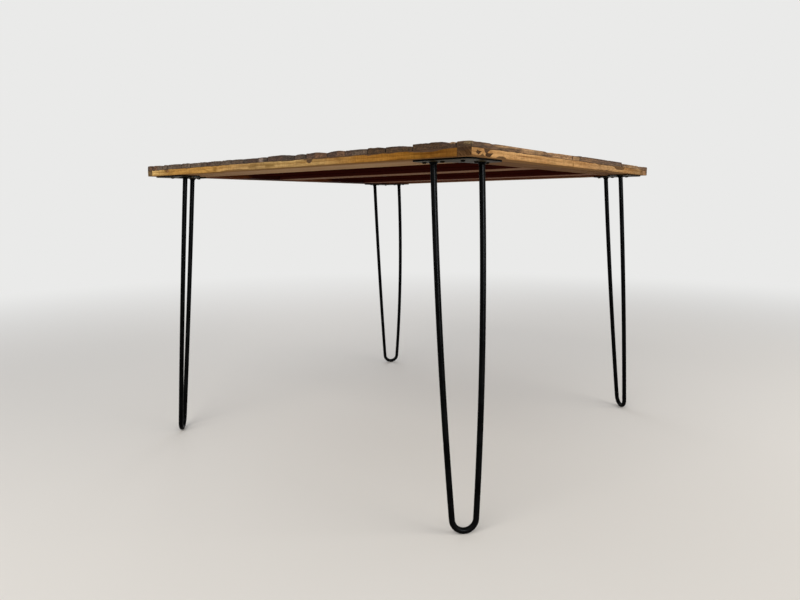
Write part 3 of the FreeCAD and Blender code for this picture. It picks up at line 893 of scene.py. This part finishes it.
# Rails and battens: slot, and the colours of the underside and of the sides, along each from its start
RED_STAIN = ((0.0, (50, 15, 9)),)
FRAME_TIMBERS = {
    "front_rail": ("pale_frame", ((0.0, (122, 89, 57)),), RED_STAIN),
    "left_rail": (
        "pale_frame",
        ((0.0, (166, 132, 98)), (0.38, (182, 150, 112)), (0.62, (178, 144, 108)), (0.8, (164, 130, 94))),
        RED_STAIN,
    ),
    "left_batten": ("pale_frame", ((0.0, (140, 107, 82)),), RED_STAIN),
    "right_batten": ("pale_frame", ((0.0, (132, 94, 74)),), RED_STAIN),
    # Back rail: the orange stretches of its underside and sides are painted light, and the dark red-brown
    # stretches between them are painted shade.
    "back_rail": (
        "brown_frame",
        ((0.0, (98, 52, 18)), (0.125, (92, 48, 18)), (0.150, (44, 14, 7)), (0.30, (44, 14, 7)),
         (0.34, (98, 54, 20)), (0.46, (90, 46, 18)), (0.49, (44, 14, 7))),
        ((0.0, (78, 38, 12)), (0.125, (74, 36, 12)), (0.150, (36, 9, 4)), (0.30, (36, 9, 4)),
         (0.34, (78, 40, 14)), (0.46, (72, 34, 12)), (0.49, (36, 9, 4))),
    ),
    "right_rail": ("brown_frame", ((0.0, (86, 44, 19)),), ((0.0, (70, 34, 13)),)),
}


def strip_spots(outer, raw, out, low, size, seed):
    """Shares of a strip's skin that are stained or marked in other ways, and how deep each point is dented.

    On the outer face, dirt hangs from the top edge and wane climbs from the bottom edge, and both arrises
    are dark. A figure is a blurred outline, and a mark an ellipse with a ragged edge.
    """
    strip = STRIPS[outer]
    axis, sign = FACES[outer]
    toward = out[:, axis] * sign
    facing = toward > 0.35
    along = raw[:, 1 - axis] - low[1 - axis]
    up = raw[:, 2] - low[2]
    ragged = EDGE_RAGGEDNESS * layered_noise(along * 55, 0, 0, seed + 19)
    dirt = along_stops(strip["dirt"], along)[:, 0] + ragged
    wane = along_stops(strip["wane"], along)[:, 0] + 0.8 * ragged
    dirty = np.maximum((up - size[2] + dirt) / DIRT_BLUR + 0.5, 2.2 * out[:, 2] - 0.3)
    spots = {
        "stain": np.where(facing, ease(dirty), 0),
        "wane": np.where(facing, ease((wane - up) / WANE_BLUR + 0.5), 0),
        **{kind: np.zeros(len(raw)) for kind in ("knot", "shade", "olive", "pit")},
        "lip": np.where(toward > 0.2, ease(1.1 - up / LIP_HEIGHT), 0),
    }
    dent = WANE_DENT * spots["wane"] * np.clip(wane / WANE_FULL_DENT, 0, 1)
    marks = []
    for kind, depth, blur, corners in strip.get("figures", ()):
        marks.append((kind, np.where(facing, outline_share(corners, along, up, blur), 0), depth))
    for face, kind, *ellipse, depth in strip["marks"]:
        axis, sign = FACES[face]
        across = raw[:, 1 - axis] - low[1 - axis]
        share = ragged_ellipse(across, up, ellipse, MARK_PITCH, seed + 29)
        marks.append((kind, np.where(out[:, axis] * sign > 0.5, share, 0), depth))
    for kind, share, depth in marks:
        spots[kind] = np.maximum(spots[kind], share)
        dent = np.maximum(dent, share * depth)
    return spots, dent


def timber(node, finish, tints, seed, outer=None, sides=None):
    """Sawn timber: a block with all edges rounded, its skin a little uneven, and dents where it is marked.

    A point is pulled to the block shrunk by the easing, then pushed out again by the easing, which rounds
    the edges.
    """
    low, high = (np.array(corner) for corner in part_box(node))
    size = high - low
    long_axis = int(np.argmax(size))
    flat_axis = 1 - long_axis
    steps = [TIMBER_STEP_ACROSS] * 3
    fine = [(), (), ()]
    if outer:
        steps[2] = STRIP_STEP_UP
        fine[long_axis] = STRIPS[outer].get("fine", ())
    else:
        steps[long_axis] = TIMBER_STEP_ALONG
    grid, quads = block_skin(*map(graded, size, steps, fine))
    raw = low + grid * size
    along = raw[:, long_axis] - low[long_axis]
    spread = layered_noise(along * 16, raw[:, 2] * 200, raw[:, flat_axis] * 60, seed)
    radius = TIMBER_EASING * (1 + 0.45 * spread)[:, None]
    core = np.clip(raw, low + radius, high - radius)
    out = raw - core
    out = out / np.maximum(np.linalg.norm(out, axis=1), 1e-9)[:, None]
    uneven = layered_noise(raw[:, 0] * 40, raw[:, 1] * 40, raw[:, 2] * 120, seed + 9)
    uneven = TIMBER_UNEVENNESS * (1 + uneven)
    from_end = np.minimum(along, size[long_axis] - along)
    end = np.clip(1 - from_end / TIMBER_END_SKIN, 0, 1)
    tint = along_stops(tints, along)
    spots, dent = {}, np.zeros(len(raw))
    if outer:
        spots, dent = strip_spots(outer, raw, out, low, size, seed)
        first, last = (np.array(colour(*tone)) for tone in STRIPS[outer]["ends"])
        butt = np.where((along < size[long_axis] / 2)[:, None], first, last)
        tint = tint + (butt - tint) * end[:, None]
    points = core + out * (radius - uneven[:, None] - dent[:, None])
    draw = np.random.default_rng(seed)
    pith = np.array([draw.uniform(0, 20), draw.uniform(-0.02, 0.02), draw.uniform(0.01, 0.03)])
    centred = points - (low + high) / 2
    piece = new_piece(node.replace("_edge", "") + "_wood", points, quads)
    paint(piece, "grain", centred[:, [long_axis, flat_axis, 2]] + pith)
    paint(piece, "tint", tint)
    if sides:
        paint(piece, "side", along_stops(sides, along))
    paint(piece, "end", end)
    paint(piece, "under", ease(-out[:, 2] * 1.6 - 0.3))
    for kind, share in spots.items():
        paint(piece, kind, share)
    fit_out(piece, node, finish)


def build_underframe():
    """Edge strips, rails, battens and panel under the boards."""
    honey = honey_wood()
    for seed, side in enumerate(FACES, STRIP_SEED):
        timber(side + "_edge_strip", honey, STRIPS[side]["tints"], seed, outer=side)
    finishes = {name: frame_wood(name) for name in ("pale_frame", "brown_frame")}
    for seed, (node, (slot, under, sides)) in enumerate(FRAME_TIMBERS.items(), FRAME_SEED):
        timber(node, finishes[slot], under, seed, sides=sides)
    recoat("base_panel", stained_panel())


# Hairpin legs: rod, foot bend and where the rods stand on the plates
CORNERS = {"front_left": (-1, -1), "front_right": (1, -1), "back_left": (-1, 1), "back_right": (1, 1)}
ROD_RADIUS = 0.006
ROD_SIDES = 28
BEND_RADIUS = 0.024
BEND_SPLAY = 3.8
FOOT_INSET = 0.033
FOOT_SWAY = {"front_left": -0.004, "front_right": 0.0, "back_left": 0.0, "back_right": 0.015}
ARM_WIDTH = 0.061
SIDE_POINTS = 90
BEND_POINTS = 40
# Weld bead
BEAD_REACH = 0.002952
BEAD_DROP = 0.00559
BEAD_BITE = 0.0004
BEAD_RIPPLES = 17
BEAD_SIDES = 102
BEAD_ROWS = 9
BEAD_CHORDS = 60
# The bead's hidden back inside the rod: distances from the rod's line and below the plate
BEAD_BACK = ((0.0036, -0.002), (0.0036, 0.00325))
BEAD_IN_PLATE = 0.0002
# Screw
SCREW_SIDES = 48
SCREW_HEAD_RADIUS = 0.0045
SCREW_HEAD_HEIGHT = 0.0028
SCREW_HEAD_ROWS = 20
SCREW_SHANK_RADIUS = 0.00225
SCREW_SHANK_LENGTH = 0.006
SCREW_TIP = 0.009
TIP_DEPTH = 0.0002
PAN_POWER = 0.78
RECESS_DEPTH = 0.0016
RECESS_REACH = 0.0028
RECESS_HALF_WIDTH = 0.0006
RECESS_BLUR = 0.0003
RECESS_END_BLUR = 0.0004


def arc_through(first, middle, last, count):
    """Points on the circle through three points, evenly spaced from the first to the last.

    The centre is the first point plus the usual sum of cross products of the two chords.
    """
    a, b = middle - first, last - first
    normal = np.cross(a, b)
    centre = first + np.cross(normal, a) * (b @ b) / (2 * normal @ normal)
    centre = centre + np.cross(b, normal) * (a @ a) / (2 * normal @ normal)
    arm = first - centre
    side = np.cross(unit(normal), arm)
    end = last - centre
    sweep = math.atan2(end @ side, end @ arm) % (2 * math.pi)
    angle = np.linspace(0, sweep, count)[:, None]
    return centre + arm * np.cos(angle) + side * np.sin(angle)


class Hairpin:
    """Bent rod of one leg in its leaning plane: s across the leg, t up from the foot."""

    def __init__(self, corner):
        low, high = (np.array(c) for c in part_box(corner + "_plate"))
        signs = np.array(CORNERS[corner])
        outer = np.where(signs > 0, high[:2], low[:2])
        tip = np.where(signs > 0, low[:2], high[:2])
        edge = np.where(signs > 0, np.array(cad_box[1])[:2], np.array(cad_box[0])[:2])
        near = outer - signs * ARM_WIDTH / 2
        far = tip + signs * ARM_WIDTH / 2
        self.plate_bottom = low[2]
        self.foot = np.append(edge - signs * FOOT_INSET, ROD_RADIUS)
        head = np.append((near + far) / 2, high[2])
        self.length = np.linalg.norm(head - self.foot)
        self.along = (head - self.foot) / self.length
        self.across = np.append(np.array([signs[0], -signs[1]]), 0.0) / math.sqrt(2)
        self.half_spread = np.linalg.norm(far - near) / 2
        self.sway = FOOT_SWAY[corner]

    def at(self, s, t):
        return self.foot + self.across * s + self.along * t

    def side(self, hand):
        """Bend end, middle of the bow and top of one side: the bow carries the bend's splay to the plate."""
        splay = math.radians(BEND_SPLAY)
        s0 = self.sway + hand * BEND_RADIUS * math.cos(splay)
        t0 = BEND_RADIUS * (1 - math.sin(splay))
        s1, t1 = hand * self.half_spread, self.length
        lean = math.atan2(hand * (s1 - s0), t1 - t0)
        bow = math.hypot(s1 - s0, t1 - t0) / 2 * math.tan((splay - lean) / 2)
        middle = self.at((s0 + s1) / 2 + hand * bow * math.cos(lean), (t0 + t1) / 2 - bow * math.sin(lean))
        return self.at(s0, t0), middle, self.at(s1, t1)

    def path(self):
        """Centre line: down one bowed side, round the foot and up the other."""
        end_a, bow_a, top_a = self.side(-1)
        end_b, bow_b, top_b = self.side(1)
        down = arc_through(top_a, bow_a, end_a, SIDE_POINTS)
        bend = arc_through(end_a, self.at(self.sway, 0), end_b, BEND_POINTS)
        up = arc_through(end_b, bow_b, top_b, SIDE_POINTS)
        return np.concatenate([down, bend[1:-1], up])


def rod_skin(leg):
    """Round tube along the centre line, its end rings slid along the rod to lie flat against the plate.

    A ring's points lie at the rod's radius round the path, by the cosine and sine of their angle along the
    path's two normals.
    """
    path = leg.path()
    tangent = np.gradient(path, axis=0)
    tangent /= np.linalg.norm(tangent, axis=1)[:, None]
    binormal = np.cross(leg.across, leg.along)
    normal = np.cross(binormal, tangent)
    angle = np.arange(ROD_SIDES) * 2 * math.pi / ROD_SIDES
    ring = normal[:, None] * np.cos(angle)[:, None] + binormal * np.sin(angle)[:, None]
    points = path[:, None] + ROD_RADIUS * ring
    over = np.maximum(points[..., 2] - leg.plate_bottom, 0)
    rise = np.where(abs(tangent[:, 2:]) > 0.5, tangent[:, 2:], 1)
    points = points - tangent[:, None] * (over / rise)[..., None]
    ends = [0, -1]
    shift = (leg.plate_bottom - points[ends][..., 2]) / tangent[ends, 2][:, None]
    points[ends] = points[ends] + tangent[ends][:, None] * shift[..., None]
    return capped_tube(points, points[ends].mean(axis=1))


def weld_skin(leg, hand, seed):
    """Weld bead: a ring round the rod end whose hollow face swells in ripples, flat against the plate.

    Down the face, the reach out from the rod grows by a power of the share, the drop below the plate shrinks
    by the same power of the rest, and both swell with the ripples round the rod.
    """
    end, bow, top = leg.side(hand)
    chords = arc_through(end, bow, top, BEAD_CHORDS)
    direction = unit(chords[-1] - chords[-2])
    seat = top + direction * (leg.plate_bottom - top[2]) / direction[2]
    side_a = unit(np.cross(direction, UP))
    side_b = np.cross(direction, side_a)
    theta = np.linspace(0, 2 * math.pi, BEAD_SIDES, endpoint=False)[:, None]
    share = np.linspace(0, 1, BEAD_ROWS)[None, :]
    swell = 1 + 0.10 * np.abs(np.sin(theta * BEAD_RIPPLES / 2)) + 0.08 * np.sin(theta + seed)
    belly = 0.14 * np.sin(share * math.pi)
    reach = (BEAD_BITE + BEAD_REACH) * swell * np.clip(share ** 1.25 + 0.5 * belly, 0, 1.1)
    reach = ROD_RADIUS - BEAD_BITE + reach
    drop = BEAD_DROP * swell * np.clip((1 - share) ** 1.25 + 0.5 * belly, 0, 1.1)
    back_reach, back_drop = (np.tile(column, (BEAD_SIDES, 1)) for column in zip(*BEAD_BACK))
    reach = np.concatenate([reach, back_reach], axis=1)
    drop = np.concatenate([drop, back_drop], axis=1)
    outward = side_a * np.cos(theta)[..., None] + side_b * np.sin(theta)[..., None]
    points = seat - direction * drop[..., None]
    points = points + reach[..., None] * outward
    points[..., 2] = np.minimum(points[..., 2], leg.plate_bottom + BEAD_IN_PLATE)
    number = np.arange(reach.size).reshape(reach.shape)
    quads = ring_quads(np.concatenate([number, number[:1]]))[:, ::-1]
    return points.reshape(-1, 3), quads, np.empty((0, 3), int)


def screw_skin(place, turn):
    """Pan-head screw from below: a domed head with a cross recess, then the shank up to its point.

    The head's profile is a quarter ellipse squared off by a power of its sine and cosine. The recess sinks
    the points near either arm of the cross.
    """
    angle = np.arange(SCREW_SIDES) * 2 * math.pi / SCREW_SIDES
    dome = np.linspace(0.03, 1.0, SCREW_HEAD_ROWS) * math.pi / 2
    radius = np.concatenate([SCREW_HEAD_RADIUS * np.sin(dome) ** PAN_POWER, [SCREW_SHANK_RADIUS] * 2])
    depth = np.concatenate([-SCREW_HEAD_HEIGHT * np.cos(dome) ** PAN_POWER, [0.0, SCREW_SHANK_LENGTH]])
    reach, around = np.meshgrid(radius, angle, indexing="ij")
    arm = np.minimum(abs(np.sin(around - turn)), abs(np.cos(around - turn))) * reach
    narrow = RECESS_HALF_WIDTH * (1.35 - 0.5 * reach / RECESS_REACH)
    sunk = ease((narrow - arm) / RECESS_BLUR + 0.5) * ease((RECESS_REACH - reach) / RECESS_END_BLUR)
    in_head = (np.arange(len(depth)) < SCREW_HEAD_ROWS)[:, None]
    rise = depth[:, None] + RECESS_DEPTH * sunk * (1 - 0.5 * reach / RECESS_REACH) * in_head
    rings = place + np.stack([reach * np.cos(around), reach * np.sin(around), rise], -1)
    poles = place + np.array([[0, 0, RECESS_DEPTH - SCREW_HEAD_HEIGHT], [0, 0, SCREW_TIP]])
    return capped_tube(rings, poles)


def screw_places(corner):
    """Middles of the five screw heads of a plate, from the tips of the screws in the node."""
    points = points_of(corner + "_screws")
    tips = points[points[:, 2] > points[:, 2].max() - TIP_DEPTH]
    tips = np.unique(np.round(tips[:, :2], 4), axis=0)
    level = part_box(corner + "_plate")[0][2]
    return [np.append(tip, level) for tip in tips]


def build_legs():
    """Rod, weld beads, screws and plate of each corner."""
    steel = black_steel("black_steel", (1, 1, 1), 0.29, 0.022)
    # The plates' flat faces are tinted brown-grey: dust and a painted sheen.
    plate_steel = black_steel("black_plate", (3, 3, 2), 0.5, 0.030, (52, 43, 26))
    screw_black = black_steel("black_screws", (1, 1, 1), 0.5, 0.008)
    draw = np.random.default_rng(SEED + 1)
    for corner in CORNERS:
        leg = Hairpin(corner)
        rod = new_piece(corner + "_rod", *rod_skin(leg))
        fit_out(rod, corner + "_hairpin", steel)
        beads = new_piece(corner + "_welds", *joined([weld_skin(leg, hand, hand + 2) for hand in (-1, 1)]))
        fit_out(beads, corner + "_weld_beads", steel)
        heads = [screw_skin(place, draw.uniform(0, math.pi)) for place in screw_places(corner)]
        screws = new_piece(corner + "_screw_heads", *joined(heads))
        fit_out(screws, corner + "_screws", screw_black)
        recoat(corner + "_plate", plate_steel)


# Floor and room
FLOOR_HALF = 30.0
FLOOR_COLOUR = (226, 224, 220)
FLOOR_FADE = (1.3, 4.2)
ROOM_COLOUR = (234, 234, 233)
ROOM_LIGHT_COLOUR = (250, 250, 252)
ROOM_LIGHT = 0.5
# Lamps: place, size, watts, tone. The last one reaches the rods alone and gives them their sheen.
LAMPS = {
    "window_light": ((-2.9, -0.5, 2.3), 2.4, 54, (255, 250, 242)),
    "front_light": ((0.6, -3.2, 1.7), 2.2, 46, (255, 248, 238)),
    "back_light": ((2.2, 2.6, 2.6), 2.4, 34, (248, 250, 255)),
    "rod_sheen_light": ((-1.61, -2.78, 1.05), 0.8, 150, (240, 248, 255)),
}
LAMP_TARGET = (0.0, 0.0, 0.55)
# Camera, worked out from the corners of the top and the feet: the picture is 800 pixels wide
PICTURE_WIDTH = 800
FOCAL_PIXELS = 609.16
SENSOR_WIDTH = 36.0
NEAREST_SEEN = 0.02
CAMERA_PLACE = (-1.40675, -1.04899, 0.62902)
CAMERA_YAW = 52.264
CAMERA_PITCH = 8.817
CAMERA_ROLL = -0.468


def build_floor():
    """Pale floor that fades into the pale room and is clear from below."""
    half = FLOOR_HALF
    corners = np.array([[-half, -half, 0], [half, -half, 0], [half, half, 0], [-half, half, 0]])
    floor = new_piece("floor", corners, np.array([[0, 1, 2, 3]]))
    f = Finish("pale_floor")
    f.fill(f.shader, {"Base Color": colour(*FLOOR_COLOUR), "Roughness": 0.8, "Specular IOR Level": 0.1})
    far = f.node("VectorMath", {0: f.place()}, "Value", operation="LENGTH")
    fade = {"Value": far, "From Min": FLOOR_FADE[0], "From Max": FLOOR_FADE[1]}
    far = f.node("MapRange", fade, interpolation_type="SMOOTHSTEP")
    glow = f.node("Emission", {"Color": colour(*ROOM_COLOUR), "Strength": 1.0})
    above = {0: f.times(far, f.backdrop_rays()), 1: f.shader.outputs["BSDF"], 2: glow}
    below = f.node("NewGeometry", {}, "Backfacing")
    sides = {0: below, 1: f.node("MixShader", above), 2: f.node("BsdfTransparent", {})}
    f.put(f.surface, f.node("MixShader", sides))
    floor.data.materials.append(f.material)


def light_room():
    """Soft light of the room, and its pale colour for the rays that see it."""
    world = bpy.data.worlds.new("pale_room")
    bpy.context.scene.world = world
    room = Nodes(world, "World")
    lit = room.node("Background", {"Color": colour(*ROOM_LIGHT_COLOUR), "Strength": ROOM_LIGHT})
    seen = room.node("Background", {"Color": colour(*ROOM_COLOUR)})
    room.put(room.surface, room.node("MixShader", {0: room.backdrop_rays(), 1: lit, 2: seen}))


def stand(thing, place, right, up, back):
    """Puts a lamp or the camera in its place, with its right, up and back axes."""
    turn = Matrix(np.stack([right, up, back], axis=1).tolist()).to_4x4()
    thing.matrix_world = Matrix.Translation(place) @ turn
    bpy.context.scene.collection.objects.link(thing)


def hang_lamps():
    """Soft square lamps that look at one point, the last of them for the rods alone."""
    for name, (place, size, watts, tone) in LAMPS.items():
        light = bpy.data.lights.new(name, "AREA")
        light.size = size
        light.energy = watts
        light.color = colour(*tone)[:3]
        lamp = bpy.data.objects.new(name, light)
        back = unit(np.array(place) - LAMP_TARGET)
        right = unit(np.cross(UP, back))
        stand(lamp, place, right, np.cross(back, right), back)
    rods = bpy.data.collections.new("rod_sheen_reach")
    for corner in CORNERS:
        rods.objects.link(bpy.data.objects[corner + "_rod"])
    lamp.light_linking.receiver_collection = rods


def build_camera():
    """Camera with its axes worked out from yaw, pitch and roll."""
    yaw, pitch, roll = (math.radians(angle) for angle in (CAMERA_YAW, CAMERA_PITCH, CAMERA_ROLL))
    ahead = np.array([math.sin(yaw), math.cos(yaw), 0.0])
    level = np.array([math.cos(yaw), -math.sin(yaw), 0.0])
    view = ahead * math.cos(pitch) - UP * math.sin(pitch)
    upright = UP * math.cos(pitch) + ahead * math.sin(pitch)
    right = level * math.cos(roll) + upright * math.sin(roll)
    up = upright * math.cos(roll) - level * math.sin(roll)
    data = bpy.data.cameras.new("camera")
    data.sensor_fit = "HORIZONTAL"
    data.sensor_width = SENSOR_WIDTH
    data.lens = FOCAL_PIXELS * SENSOR_WIDTH / PICTURE_WIDTH
    data.clip_start = NEAREST_SEEN
    camera = bpy.data.objects.new("camera", data)
    stand(camera, CAMERA_PLACE, right, up, -view)
    bpy.context.scene.camera = camera


lay_boards(weathered_boards())
build_underframe()
build_legs()
build_floor()
light_room()
hang_lamps()
build_camera()
bpy.context.scene.view_settings.view_transform = "Standard"
